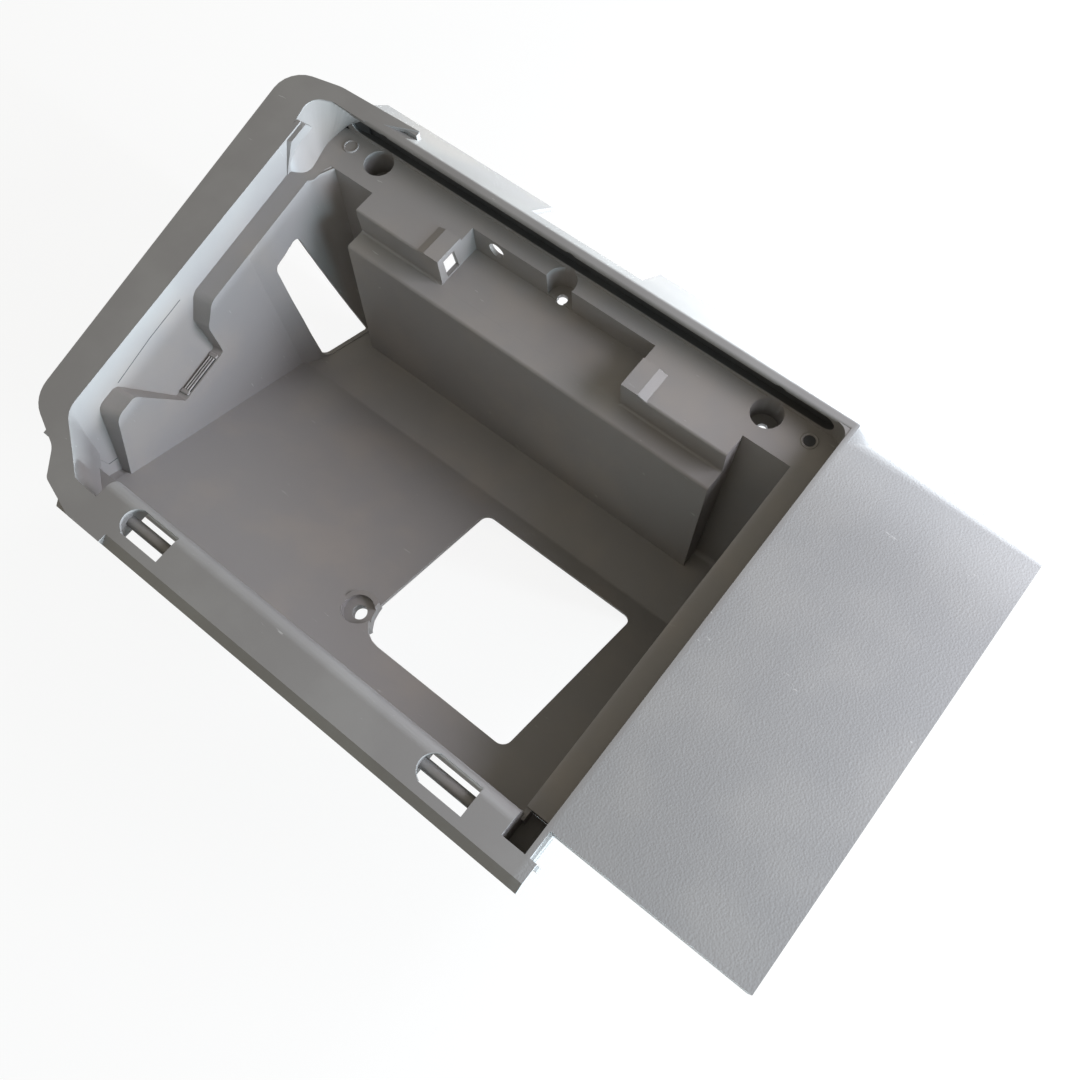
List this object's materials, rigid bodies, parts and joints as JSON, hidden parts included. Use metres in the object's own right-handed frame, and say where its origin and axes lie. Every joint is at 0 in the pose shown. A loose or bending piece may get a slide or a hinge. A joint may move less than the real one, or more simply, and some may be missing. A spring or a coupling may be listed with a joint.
{
  "type": "glove box bracket",
  "caption": "Moulded glove box bracket: open storage housing with a lid recess, a latch recess, a slotted hinge beam, a windowed sloping floor and a flat side panel.",
  "frame": {"origin": "centre of the bounding box's bottom face", "axes": "+Z out of the open side, +Y from the hinge beam to the top flange, +X from the storage box to the flat side panel"},
  "size_m": [0.4678, 0.286, 0.1326],
  "materials": {
    "housing": "fine grained grey moulding"
  },
  "bodies": {
    "root": {"housing": "housing"}
  },
  "joints": []
}
